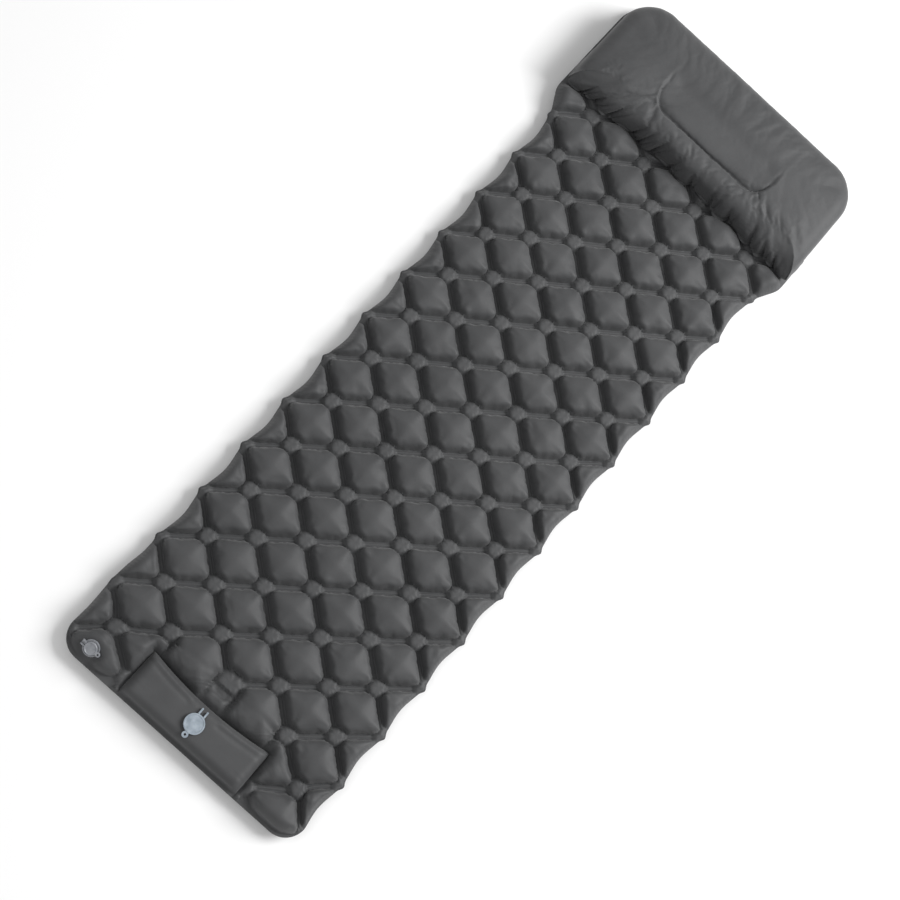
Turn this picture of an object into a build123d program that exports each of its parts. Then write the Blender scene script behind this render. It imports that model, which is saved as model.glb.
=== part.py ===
"""Inflatable sleeping pad with a built-in pillow and a foot pump, in millimetres.

+Y runs from the foot to the head, +X is to the right seen from above with the head up, and
+Z is up. The origin is at the middle of the pad's footprint, on the ground.
The fabric is drawn as plain thick sheets round an air chamber: the quilted surface stands about
the mean height of the top sheet.
"""

import os
from math import cos, radians, sin

from build123d import *

# ---- pad -----------------------------------------------------------------------------------
pad_length = 1900.0
mattress_width = 592.0
head_width = 638.0          # the mattress widens where it carries the pillow
mattress_top = 52.0         # mean height of the quilted top
weld_height = 26.0          # the two sheets are welded together at this height
sheet_thickness = 4.0
foot_corner_radius = 48.0
head_corner_radius = 86.0
flange_width = 10.0         # welded seam flange along the foot edge
flange_thickness = 1.0
flange_half_length = 252.0
head_inset = 6.0            # the pillow bulges past the mattress at the head
widening_start = 560.0
widening_end = 640.0

foot_end = -pad_length / 2
head_end = pad_length / 2
foot_seam = foot_end + flange_width

# ---- pillow --------------------------------------------------------------------------------
pillow_front = 648.0
pillow_width = 654.0
pillow_top = 105.0
pillow_front_radius = 24.0
pillow_edge_radius = 30.0
recess_length = 330.0
recess_depth = 13.0
recess_front = 725.0
recess_back = 838.0
recess_corner = 48.0
chamber_inset = 14.0        # from the pillow's outline to its air chamber
chamber_top = 84.0
web_length = 236.0
web_thickness = 1.0

# ---- foot pump -----------------------------------------------------------------------------
pump_half_width = 145.0
pump_back = -845.0
pump_gap = 2.0              # all round the moving cover
cover_thickness = 3.0
cover_corner_radius = 8.0
pump_floor_thickness = 2.0
foam_inset = 7.0
foam_clearance = 0.3        # under the cover at rest
sleeve_width = 52.0
sleeve_length = 62.0
sleeve_thickness = 0.8
lid_recess_width = 58.0     # the channel behind the pump that the open lid swings down into
lid_recess_low = 30.5
lid_recess_slope = 40.0

# ---- valves --------------------------------------------------------------------------------
pump_valve_y = -894.0
main_valve_x = -237.0
main_valve_y = -914.0
main_valve_z = 43.0
main_valve_tilt = 30.0      # the foot corners slope down to the seam
stem_clearance = 0.1
film_stock = 1.2            # thickness of the welded flanges
diaphragm_thickness = 0.8
spoke_width = 2.0
spoke_thickness = 1.0
strap_thickness = 1.0


def valve_plane(x, y, z, tilt, towards_hinge):
    """A frame on the fabric's outer face: local +X to the cap's hinge, local +Z outwards."""
    outward = (0, -sin(radians(tilt)), cos(radians(tilt)))
    return Plane(origin=(x, y, z), x_dir=towards_hinge, z_dir=outward)


def section_plane(plane):
    """The half-section of a round piece: local X is the radius, local Y the valve's axis."""
    return Plane(origin=plane.origin, x_dir=plane.x_dir, z_dir=-plane.y_dir)


pump_valve = valve_plane(0, pump_valve_y, mattress_top, 0, (0, 1, 0))
main_valve = valve_plane(main_valve_x, main_valve_y, main_valve_z, main_valve_tilt, (-1, 0, 0))


# ---- outlines ------------------------------------------------------------------------------
def mattress_outline():
    """Half widths at the foot and under the pillow, mirrored about the pad's centre line."""
    half = mattress_width / 2
    head_half = head_width / 2
    head = head_end - head_inset
    points = [
        (-half, foot_seam),
        (half, foot_seam),
        (half, widening_start),
        (head_half, widening_end),
        (head_half, head),
        (-head_half, head),
        (-head_half, widening_end),
        (-half, widening_start),
    ]
    with BuildSketch() as outline:
        with BuildLine():
            Polyline(*points, close=True)
        make_face()
        corners = outline.vertices().group_by(Axis.Y)
        fillet(corners[0], foot_corner_radius)
        corners = outline.vertices().group_by(Axis.Y)
        fillet(corners[-1], head_corner_radius)
    return outline.sketch


def pump_pocket_outline():
    """The rectangle at the foot that the pump takes out of the mattress, open at the seam."""
    with BuildSketch() as pocket:
        with Locations((0, (foot_end + pump_back) / 2)):
            Rectangle(2 * pump_half_width, pump_back - foot_end)
    return pocket.sketch


# ---- mattress ------------------------------------------------------------------------------
slope_length = 120.0
slope_reach = 60.0
main_neck_radius = 12.0
lid_slope = valve_plane(0, pump_back, lid_recess_low, lid_recess_slope, (-1, 0, 0))


def sloped_cuts(depth):
    """What the sloping foot corners and the lid's recess take off the mattress, depth deeper."""
    with BuildPart() as cuts:
        with BuildSketch(main_valve.offset(-depth)):
            with Locations((main_valve_x, 0)):
                Rectangle(pillow_width, slope_length)
        extrude(amount=slope_reach)
        with BuildSketch(lid_slope.offset(-depth)):
            Rectangle(lid_recess_width + 2 * depth, slope_length)
        extrude(amount=slope_reach)
    return cuts.part


def air_chamber(floor, height, cuts=None):
    """The air between the sheets, one sheet thickness inside the mattress's outline."""
    with BuildPart() as chamber:
        with BuildSketch(Plane.XY.offset(floor)):
            add(mattress_outline())
            add(pump_pocket_outline(), mode=Mode.SUBTRACT)
            offset(amount=-sheet_thickness, kind=Kind.INTERSECTION, mode=Mode.REPLACE)
        extrude(amount=height)
        if cuts:
            add(cuts, mode=Mode.SUBTRACT)
    return chamber.part


outer_cuts = sloped_cuts(0)
upper_chamber = air_chamber(
    weld_height, mattress_top - sheet_thickness - weld_height, sloped_cuts(sheet_thickness)
)
lower_chamber = air_chamber(sheet_thickness, weld_height - sheet_thickness)

with BuildPart() as mattress_top_sheet:
    with BuildSketch(Plane.XY.offset(weld_height)):
        add(mattress_outline())
        add(pump_pocket_outline(), mode=Mode.SUBTRACT)
    extrude(amount=mattress_top - weld_height)
    add(outer_cuts, mode=Mode.SUBTRACT)
    add(upper_chamber, mode=Mode.SUBTRACT)
    with BuildSketch(main_valve.offset(-2 * sheet_thickness)):
        Circle(main_neck_radius)
    extrude(amount=3 * sheet_thickness, mode=Mode.SUBTRACT)
    # the pump's film sleeve passes through the seam
    with BuildSketch(Plane.XY.offset(weld_height)):
        with Locations((0, pump_back + sleeve_length / 2)):
            Rectangle(sleeve_width, sleeve_length)
    extrude(amount=sleeve_thickness, mode=Mode.SUBTRACT)

with BuildPart() as mattress_bottom_sheet:
    with BuildSketch():
        add(mattress_outline())
        add(pump_pocket_outline(), mode=Mode.SUBTRACT)
    extrude(amount=weld_height)
    add(lower_chamber, mode=Mode.SUBTRACT)
    with BuildSketch(Plane.XY.offset(weld_height - flange_thickness)):
        with Locations((0, (foot_end + foot_seam) / 2)):
            Rectangle(2 * flange_half_length, flange_width)
    extrude(amount=flange_thickness)

# ---- pillow --------------------------------------------------------------------------------
with BuildPart() as pillow_panel:
    with BuildSketch(Plane.XY.offset(mattress_top)) as pillow_outline:
        with Locations((0, (pillow_front + head_end) / 2)):
            Rectangle(pillow_width, head_end - pillow_front)
        fillet(pillow_outline.vertices().group_by(Axis.Y)[0], pillow_front_radius)
        fillet(pillow_outline.vertices().group_by(Axis.Y)[-1], head_corner_radius)
    extrude(amount=pillow_top - mattress_top)
    fillet(pillow_panel.faces().sort_by(Axis.Z)[-1].edges(), pillow_edge_radius)
    # shallow recess for the head
    with BuildSketch(Plane.XY.offset(pillow_top - recess_depth)):
        with Locations((0, (recess_front + recess_back) / 2)):
            RectangleRounded(recess_length, recess_back - recess_front, recess_corner)
    extrude(amount=recess_depth, mode=Mode.SUBTRACT)
    # the pillow's own air chamber
    with BuildSketch(Plane.XY.offset(mattress_top)):
        with Locations((0, (pillow_front + head_end) / 2)):
            RectangleRounded(
                pillow_width - 2 * chamber_inset,
                head_end - pillow_front - 2 * chamber_inset,
                head_corner_radius - chamber_inset,
            )
    extrude(amount=chamber_top - mattress_top, mode=Mode.SUBTRACT)

with BuildPart() as pillow_tie_web:
    with BuildSketch(Plane.XY.offset(mattress_top)):
        with Locations((0, recess_front + web_thickness)):
            Rectangle(web_length, web_thickness)
    extrude(amount=chamber_top - mattress_top)

# ---- foot pump -----------------------------------------------------------------------------
pump_neck_radius = 15.5
foam_hole_radius = 28.0
cover_front = foot_seam + pump_gap
cover_back = pump_back - pump_gap
cover_half_width = pump_half_width - pump_gap
cover_middle = (cover_front + cover_back) / 2

with BuildPart() as pump_cover:
    with BuildSketch(Plane.XY.offset(mattress_top - cover_thickness)):
        with Locations((0, cover_middle)):
            RectangleRounded(2 * cover_half_width, cover_back - cover_front, cover_corner_radius)
        with Locations((0, pump_valve_y)):
            Circle(pump_neck_radius, mode=Mode.SUBTRACT)
    extrude(amount=cover_thickness)

with BuildPart() as pump_floor_sheet:
    with BuildSketch():
        with Locations((0, cover_middle)):
            Rectangle(2 * cover_half_width, cover_back - cover_front)
    extrude(amount=pump_floor_thickness)

with BuildPart() as pump_foam:
    with BuildSketch(Plane.XY.offset(pump_floor_thickness)):
        with Locations((0, cover_middle)):
            Rectangle(
                2 * (cover_half_width - foam_inset), cover_back - cover_front - foam_inset
            )
        with Locations((0, pump_valve_y)):
            Circle(foam_hole_radius, mode=Mode.SUBTRACT)
    extrude(amount=mattress_top - cover_thickness - foam_clearance - pump_floor_thickness)

with BuildPart() as pump_check_sleeve:
    with BuildSketch(Plane.XY.offset(weld_height)):
        with Locations((0, pump_back + sleeve_length / 2)):
            Rectangle(sleeve_width, sleeve_length)
    extrude(amount=sleeve_thickness)


# ---- valve pieces that both valves have ------------------------------------------------------
def welded_flange(plane, radius, bore, top, thickness):
    """A flat ring of weldable film stock, welded to the inside of the fabric."""
    with BuildPart() as flange:
        with BuildSketch(plane.offset(top - thickness)):
            Circle(radius)
            Circle(bore, mode=Mode.SUBTRACT)
        extrude(amount=thickness)
    return flange


def grille_outline(radius, hub_radius, stem_hole):
    """Four spokes and a hub across a bore, with the hole that the diaphragm's stem slides in."""
    with BuildSketch() as grille:
        Rectangle(2 * radius, spoke_width)
        Rectangle(spoke_width, 2 * radius)
        Circle(hub_radius)
        Circle(stem_hole, mode=Mode.SUBTRACT)
    return grille.sketch


def mushroom_diaphragm(plane, radius, top, thickness, stem_radius, bulb_radius, bulb_low, bulb_high):
    """A silicone disc under the grille, hung from a stem with a bulb above the hub."""
    profile = [
        (0, top - thickness),
        (radius, top - thickness),
        (radius, top),
        (stem_radius, top),
        (stem_radius, bulb_low),
        (bulb_radius, bulb_low),
        (stem_radius, bulb_high),
        (0, bulb_high),
    ]
    with BuildPart() as diaphragm:
        with BuildSketch(section_plane(plane)):
            with BuildLine():
                Polyline(*profile, close=True)
            make_face()
        revolve(axis=Axis(plane.origin, plane.z_dir))
    return diaphragm


def plug_cap(plane, radius, low, thickness, skirt, tab):
    """A lid with a raised rim, a hollow plug under it, and a pull tab with a finger hole."""
    skirt_top, skirt_bottom, skirt_inner, skirt_low = skirt
    tab_hole_x, tab_radius, tab_hole, tab_thickness = tab
    rim_width = 0.14 * radius
    bevel = 0.5
    dish = 0.7
    top = low + thickness
    profile = [
        (0, low),
        (skirt_inner, low),
        (skirt_inner, skirt_low),
        (skirt_bottom, skirt_low),
        (skirt_top, low),
        (radius, low),
        (radius, top - bevel),
        (radius - bevel, top),
        (radius - rim_width, top),
        (radius - rim_width - dish, top - dish),
        (0, top - dish),
    ]
    with BuildPart() as cap:
        with BuildSketch(section_plane(plane)):
            with BuildLine():
                Polyline(*profile, close=True)
            make_face()
        revolve(axis=Axis(plane.origin, plane.z_dir))
        with BuildSketch(plane.offset(low + bevel)):
            with Locations((-(radius + tab_hole_x) / 2, 0)):
                Rectangle(tab_hole_x - radius + 2 * bevel, 1.5 * tab_radius)
            with Locations((-tab_hole_x, 0)):
                Circle(tab_radius)
                Circle(tab_hole, mode=Mode.SUBTRACT)
        extrude(amount=tab_thickness)
    return cap


def loop_strap(plane, legs, leg_width, low, high, bend_x, low_x, high_x, ring=None):
    """A living hinge: each leg leaves one piece, bends over at bend_x and returns to the other."""
    middle = (low + high) / 2
    bend = (high - low) / 2
    with BuildPart() as strap:
        for leg in legs:
            with BuildSketch(section_plane(plane).offset(leg - leg_width / 2)):
                with BuildLine():
                    Line((low_x, low), (bend_x, low))
                    ThreePointArc((bend_x, low), (bend_x + bend, middle), (bend_x, high))
                    Line((bend_x, high), (high_x, high))
                trace(line_width=strap_thickness)
            extrude(amount=leg_width)
        if ring:
            ring_outer, ring_inner = ring
            with BuildSketch(plane.offset(low - strap_thickness / 2)):
                Circle(ring_outer)
                Circle(ring_inner, mode=Mode.SUBTRACT)
            extrude(amount=strap_thickness)
    return strap


# ---- pump valve ----------------------------------------------------------------------------
pump_flange_radius = 26.0
pump_bore = 13.0
pump_ledge = 10.8
pump_neck_low = -7.0
pump_neck_top = 3.0
pump_ledge_top = -5.0
pump_bead_radius = 18.2
pump_bead_low = 1.6
pump_stem_radius = 1.25
pump_hub_radius = 3.0
pump_diaphragm_travel = 2.2
pump_diaphragm_gap = 0.2
pump_cap_radius = 20.5
pump_cap_low = 3.3
pump_cap_thickness = 3.2
pump_hinge_x = 31.5
pump_strap_low = 0.8
pump_strap_high = 4.6

pump_valve_flange = welded_flange(
    pump_valve, pump_flange_radius, pump_neck_radius, -cover_thickness, film_stock
)

pump_seat_profile = [
    (pump_bore, pump_neck_top),
    (pump_bore, pump_ledge_top),
    (pump_ledge, pump_ledge_top),
    (pump_ledge, pump_ledge_top - spoke_thickness),
    (pump_bore, pump_ledge_top - spoke_thickness),
    (pump_bore, pump_neck_low),
    (pump_neck_radius, pump_neck_low),
    (pump_neck_radius, pump_bead_low),
    (pump_bead_radius, pump_bead_low),
    (pump_bead_radius, pump_neck_top),
]
with BuildPart() as pump_valve_seat:
    with BuildSketch(section_plane(pump_valve)):
        with BuildLine():
            Polyline(*pump_seat_profile, close=True)
        make_face()
    revolve(axis=Axis(pump_valve.origin, pump_valve.z_dir))
    with BuildSketch(pump_valve.offset(pump_ledge_top - spoke_thickness)):
        add(grille_outline(pump_ledge + 0.5, pump_hub_radius, pump_stem_radius + stem_clearance))
    extrude(amount=spoke_thickness)

pump_valve_diaphragm = mushroom_diaphragm(
    pump_valve,
    radius=12.2,
    top=pump_ledge_top - spoke_thickness - pump_diaphragm_gap,
    thickness=diaphragm_thickness,
    stem_radius=pump_stem_radius,
    bulb_radius=2.2,
    bulb_low=pump_ledge_top + pump_diaphragm_travel + pump_diaphragm_gap,
    bulb_high=pump_ledge_top + pump_diaphragm_travel + pump_diaphragm_gap + 1.5,
)

pump_valve_cap = plug_cap(
    pump_valve,
    pump_cap_radius,
    pump_cap_low,
    pump_cap_thickness,
    skirt=(12.7, 12.2, 11.2, 0.2),
    tab=(26.0, 6.4, 2.4, 1.8),
)

pump_valve_strap = loop_strap(
    pump_valve,
    legs=(-6.1, 6.1),
    leg_width=3.5,
    low=pump_strap_low,
    high=pump_strap_high,
    bend_x=pump_hinge_x,
    low_x=17.0,
    high_x=pump_cap_radius,
    ring=(19.0, pump_neck_radius + 0.2),
)

# ---- main valve ----------------------------------------------------------------------------
main_flange_radius = 17.5
main_bore = 10.3
main_neck_low = -6.5
main_neck_top = 2.5
main_ring_radius = 17.0
main_ring_low = 0.2
main_ring_top = 1.7
main_lip_inner = 15.4
main_lip_top = 3.3
lip_gap = 16.0              # the raised lip is left out where the straps pass
insert_rim_radius = 13.0
insert_rim_low = 2.7
insert_rim_top = 4.0
insert_top_radius = 10.05
insert_foot_radius = 9.1
insert_low = -5.0
insert_bore = 7.2
insert_stem_radius = 1.05
main_hub_radius = 2.4
main_diaphragm_travel = 1.8
main_diaphragm_gap = 0.2
main_cap_radius = 12.75
main_cap_low = 4.3
main_cap_thickness = 3.2
main_hinge_x = 20.0
insert_strap_low = 0.9
insert_strap_high = 3.35
cap_strap_high = 6.0

main_valve_flange = welded_flange(
    main_valve, main_flange_radius, main_neck_radius, -sheet_thickness, film_stock
)

with BuildPart() as main_valve_seat:
    with BuildSketch(main_valve.offset(main_neck_low)):
        Circle(main_neck_radius)
        Circle(main_bore, mode=Mode.SUBTRACT)
    extrude(amount=main_neck_top - main_neck_low)
    with BuildSketch(main_valve.offset(main_ring_low)):
        Circle(main_ring_radius)
        Circle(main_bore, mode=Mode.SUBTRACT)
    extrude(amount=main_ring_top - main_ring_low)
    with BuildSketch(main_valve.offset(main_ring_top)):
        Circle(main_ring_radius)
        Circle(main_lip_inner, mode=Mode.SUBTRACT)
        with Locations((main_ring_radius, 0)):
            Rectangle(main_ring_radius, lip_gap, mode=Mode.SUBTRACT)
    extrude(amount=main_lip_top - main_ring_top)

insert_profile = [
    (insert_bore, insert_rim_top),
    (insert_bore, insert_low),
    (insert_foot_radius, insert_low),
    (insert_top_radius, insert_rim_low),
    (insert_rim_radius, insert_rim_low),
    (insert_rim_radius, insert_rim_top),
]
with BuildPart() as main_valve_insert:
    with BuildSketch(section_plane(main_valve)):
        with BuildLine():
            Polyline(*insert_profile, close=True)
        make_face()
    revolve(axis=Axis(main_valve.origin, main_valve.z_dir))
    with BuildSketch(main_valve.offset(insert_low)):
        add(grille_outline(insert_bore + 0.5, main_hub_radius, insert_stem_radius + stem_clearance))
    extrude(amount=spoke_thickness)

main_valve_diaphragm = mushroom_diaphragm(
    main_valve,
    radius=8.4,
    top=insert_low - main_diaphragm_gap,
    thickness=diaphragm_thickness,
    stem_radius=insert_stem_radius,
    bulb_radius=1.9,
    bulb_low=insert_low + spoke_thickness + main_diaphragm_travel + main_diaphragm_gap,
    bulb_high=insert_low + spoke_thickness + main_diaphragm_travel + main_diaphragm_gap + 1.2,
)

main_valve_cap = plug_cap(
    main_valve,
    main_cap_radius,
    main_cap_low,
    main_cap_thickness,
    skirt=(6.95, 6.4, 5.6, 0.8),
    tab=(17.5, 4.9, 2.1, 1.6),
)

main_valve_cap_strap = loop_strap(
    main_valve,
    legs=(-4.3, 4.3),
    leg_width=3.0,
    low=insert_strap_high,
    high=cap_strap_high,
    bend_x=main_hinge_x,
    low_x=insert_rim_radius,
    high_x=main_cap_radius,
)

main_valve_insert_strap = loop_strap(
    main_valve,
    legs=(0,),
    leg_width=3.6,
    low=insert_strap_low,
    high=insert_strap_high,
    bend_x=main_hinge_x,
    low_x=main_ring_radius,
    high_x=insert_rim_radius,
)

# ---- pieces --------------------------------------------------------------------------------
pieces = {
    "mattress_top_sheet": mattress_top_sheet,
    "mattress_bottom_sheet": mattress_bottom_sheet,
    "pillow_panel": pillow_panel,
    "pillow_tie_web": pillow_tie_web,
    "pump_cover": pump_cover,
    "pump_floor_sheet": pump_floor_sheet,
    "pump_foam": pump_foam,
    "pump_check_sleeve": pump_check_sleeve,
    "pump_valve_flange": pump_valve_flange,
    "pump_valve_seat": pump_valve_seat,
    "pump_valve_diaphragm": pump_valve_diaphragm,
    "pump_valve_cap": pump_valve_cap,
    "pump_valve_strap": pump_valve_strap,
    "main_valve_flange": main_valve_flange,
    "main_valve_seat": main_valve_seat,
    "main_valve_insert": main_valve_insert,
    "main_valve_diaphragm": main_valve_diaphragm,
    "main_valve_cap": main_valve_cap,
    "main_valve_cap_strap": main_valve_cap_strap,
    "main_valve_insert_strap": main_valve_insert_strap,
}

os.makedirs("parts", exist_ok=True)
for name, piece in pieces.items():
    piece.part.label = name
    export_step(piece.part, f"parts/{name}.step")
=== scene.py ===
"""Looks of the inflatable sleeping pad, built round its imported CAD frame. Metres, +Y to the head."""

import math

import bpy
import numpy as np
from mathutils import Matrix, Vector


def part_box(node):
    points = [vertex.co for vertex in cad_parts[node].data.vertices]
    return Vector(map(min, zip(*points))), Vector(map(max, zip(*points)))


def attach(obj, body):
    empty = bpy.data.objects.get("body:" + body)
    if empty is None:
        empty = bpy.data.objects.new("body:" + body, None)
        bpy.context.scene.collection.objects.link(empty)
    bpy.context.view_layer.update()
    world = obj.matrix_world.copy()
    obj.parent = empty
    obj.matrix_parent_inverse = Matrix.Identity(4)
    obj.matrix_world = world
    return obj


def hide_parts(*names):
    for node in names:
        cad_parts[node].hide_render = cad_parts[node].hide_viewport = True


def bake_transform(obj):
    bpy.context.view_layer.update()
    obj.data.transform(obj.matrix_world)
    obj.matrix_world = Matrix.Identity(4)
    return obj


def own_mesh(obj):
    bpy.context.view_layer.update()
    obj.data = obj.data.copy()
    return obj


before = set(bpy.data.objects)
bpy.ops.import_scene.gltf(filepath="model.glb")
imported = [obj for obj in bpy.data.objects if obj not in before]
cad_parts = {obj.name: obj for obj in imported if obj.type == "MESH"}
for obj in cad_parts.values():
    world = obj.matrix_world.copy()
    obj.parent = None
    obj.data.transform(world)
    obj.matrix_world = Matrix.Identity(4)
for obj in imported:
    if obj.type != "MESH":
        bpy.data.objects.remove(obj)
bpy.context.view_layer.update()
rng = np.random.default_rng(7)

# ---- the quilt's lattice, in metres ----------------------------------------------------------
CELL_X = 0.147              # a diamond across
CELL_Y = 0.1235             # a diamond along
ROW_0 = -0.852              # y of the first row of weld nodes
PITCH = math.hypot(CELL_X, CELL_Y) / 2      # from node to node along a weld bar
ROWS_APART = CELL_X * CELL_Y / 2 / PITCH    # between two parallel rows of bars
BAR_EDGE = 0.0050           # half the width of a weld bar
NODE_EDGE = 0.0195          # from a node's middle to its octagonal crease
GRID = 26                   # mesh steps per node pitch
CROWDING = 0.66             # of those steps towards the bars
WELD_Z = 0.026
WALL_RISE = 0.0195          # of a cell's steep side
WALL_WIDE = 0.0125
FACET_RISE = 0.0115         # of its four flat facets, to the middle
BUTTON = 0.0125             # height of a node above the weld plane
EDGE_FLAT = 0.294           # where the half nodes lie, before the edge is drawn in

FOOT_Y = -0.945
HEAD_Y = 0.944
FOOT_LEFT_OUT = 0.010       # how much further out the valve's corner stands
PUMP_HALF = 0.146
PUMP_HEAD_Y = -0.845
PUMP_HEAD_IN = 0.004        # how far the pocket's head edge is drawn in at its middle
PUMP_HEAD_BOW = 0.013       # and how far its ends stand out from there
PILLOW_Y = 0.648

# ---- the mattress's edge -----------------------------------------------------------------------
HALF_WIDTH = 0.286
PILLOW_WIDER = 0.036        # how much further out it is beside the pillow
WIDENS_FROM, WIDENS_OVER = 0.560, 0.075
SCALLOP = 0.0035            # depth of its waves
TAB, TAB_LENGTH = 0.0055, 0.008     # the points at its half nodes
FOOT_CORNER, HEAD_CORNER = 0.048, 0.086
CORNER_POINTS = 14
EDGE_STEP = 0.004
POCKET_POINTS = 60


TINY = 1e-14


def smooth(t):
    t = np.clip(t, 0.0, 1.0)
    return t * t * (3 - 2 * t)


def new_object(name, verts, faces, smooth_shade=True):
    mesh = bpy.data.meshes.new(name)
    mesh.from_pydata([tuple(map(float, v)) for v in verts], [], [tuple(map(int, f)) for f in faces])
    mesh.update()
    if smooth_shade:
        mesh.polygons.foreach_set("use_smooth", np.ones(len(mesh.polygons), bool))
    obj = bpy.data.objects.new(name, mesh)
    bpy.context.scene.collection.objects.link(obj)
    return obj


def coords(obj):
    co = np.empty(len(obj.data.vertices) * 3)
    obj.data.vertices.foreach_get("co", co)
    return co.reshape(-1, 3)


def set_coords(obj, co):
    obj.data.vertices.foreach_set("co", np.asarray(co, float).ravel())
    obj.data.update()


def half_width(y, side=1):
    """The mattress's edge: it widens under the pillow, and is drawn in between its half nodes."""
    base = HALF_WIDTH + PILLOW_WIDER * smooth((y - WIDENS_FROM) / WIDENS_OVER)
    row = (y - ROW_0) / CELL_Y
    from_half = (row - 0.5) - np.round(row - 0.5)
    tab = TAB * np.exp(-((from_half * CELL_Y / TAB_LENGTH) ** 2))
    by_pillow = smooth((y - 0.60) / 0.05)
    scallop = (SCALLOP * np.cos(2 * math.pi * from_half) + tab) * (1 - by_pillow)
    if side < 0:        # the valve's corner stands further out
        out = smooth((y + 0.950) / 0.05) * (1 - smooth((y + 0.760) / 0.10))
        return base + scallop * (1 - 0.7 * out) + FOOT_LEFT_OUT * out
    return base + scallop


def pump_head(x):
    """The head edge of the pump's pocket."""
    return PUMP_HEAD_Y - PUMP_HEAD_IN + PUMP_HEAD_BOW * (x / PUMP_HALF) ** 2


def outline():
    """The mattress's outline with the pump's pocket cut out of its foot, anticlockwise."""
    points = []
    quarter = math.pi / 2

    def corner(cx, cy, r, a0):
        for a in np.linspace(a0, a0 + quarter, CORNER_POINTS):
            points.append((cx + r * math.cos(a), cy + r * math.sin(a)))

    foot_y, head_y = FOOT_Y + FOOT_CORNER, HEAD_Y - HEAD_CORNER     # where the corners begin
    ys = np.arange(FOOT_Y, HEAD_Y, EDGE_STEP)
    ys = ys[(ys > foot_y + EDGE_STEP / 2) & (ys < head_y - EDGE_STEP / 2)]
    foot_right = float(half_width(np.array(foot_y)))
    foot_left = float(half_width(np.array(foot_y), -1))
    head = float(half_width(np.array(head_y)))
    points.append((PUMP_HALF, FOOT_Y))
    corner(foot_right - FOOT_CORNER, foot_y, FOOT_CORNER, -quarter)
    points += [(float(half_width(y)), y) for y in ys]
    corner(head - HEAD_CORNER, head_y, HEAD_CORNER, 0)
    corner(-head + HEAD_CORNER, head_y, HEAD_CORNER, quarter)
    points += [(-float(half_width(y, -1)), y) for y in ys[::-1]]
    corner(-foot_left + FOOT_CORNER, foot_y, FOOT_CORNER, 2 * quarter)
    points.append((-PUMP_HALF, FOOT_Y))
    points += [(x, pump_head(x)) for x in np.linspace(-PUMP_HALF, PUMP_HALF, POCKET_POINTS)]
    return np.array(points)


def nearest_on(poly, pts):
    """Signed distance to a closed polygon, negative inside, and the nearest point on it."""
    # points far inside need no exact distance
    deep = (np.abs(pts[:, 0]) < 0.25) & (pts[:, 1] > -0.80) & (pts[:, 1] < 0.90)
    if deep.any():
        dist, near = np.full(len(pts), -1.0), pts.copy()
        dist[~deep], near[~deep] = nearest_on(poly, pts[~deep])
        return dist, near
    a, b = poly, np.roll(poly, -1, axis=0)
    best = np.full(len(pts), np.inf)
    near = np.zeros_like(pts)
    inside = np.zeros(len(pts), bool)
    for p, q in zip(a, b):
        d = q - p
        length = d @ d
        if length < TINY:
            continue
        t = np.clip(((pts - p) @ d) / length, 0, 1)
        c = p + t[:, None] * d
        dist = np.linalg.norm(pts - c, axis=1)
        hit = dist < best
        best[hit] = dist[hit]
        near[hit] = c[hit]
        if p[1] != q[1]:
            cross = (p[1] > pts[:, 1]) != (q[1] > pts[:, 1])
            xs = p[0] + (pts[:, 1] - p[1]) * (q[0] - p[0]) / (q[1] - p[1])
            inside ^= cross & (pts[:, 0] < xs)
    return np.where(inside, -best, best), near


def grid_quads(index):
    """Faces of a mesh whose points are numbered in a grid."""
    corners = [index[:-1, :-1], index[1:, :-1], index[1:, 1:], index[:-1, 1:]]
    return np.stack(corners, axis=-1).reshape(-1, 4)


# ---- the quilt: a grid along the weld bars, cut to the outline -------------------------------
GRID_REACH = 18             # node pitches from the grid's middle to its ends
MARGIN = 0.03               # how far past the outline the grid is kept before it is cut
EDGE_ZONE = 0.225           # x from where the mesh is drawn in to the edge
FOOT_SPREAD = 0.013         # how much further out the foot's last nodes stand
CUT_TOLERANCE = 0.0006
SNAP = 0.0008               # points this near to the outline are moved onto it


def lattice(a, b):
    """Plan position of a point whose whole-number values of a and b are the weld nodes."""
    return (a + b - 1) * CELL_X / 2, ROW_0 + (b - a) * CELL_Y / 2


def crowded(t):
    """Even steps, drawn together round whole numbers so that the creases there are crisp."""
    return t - CROWDING * np.sin(2 * math.pi * t) / (2 * math.pi)


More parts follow.
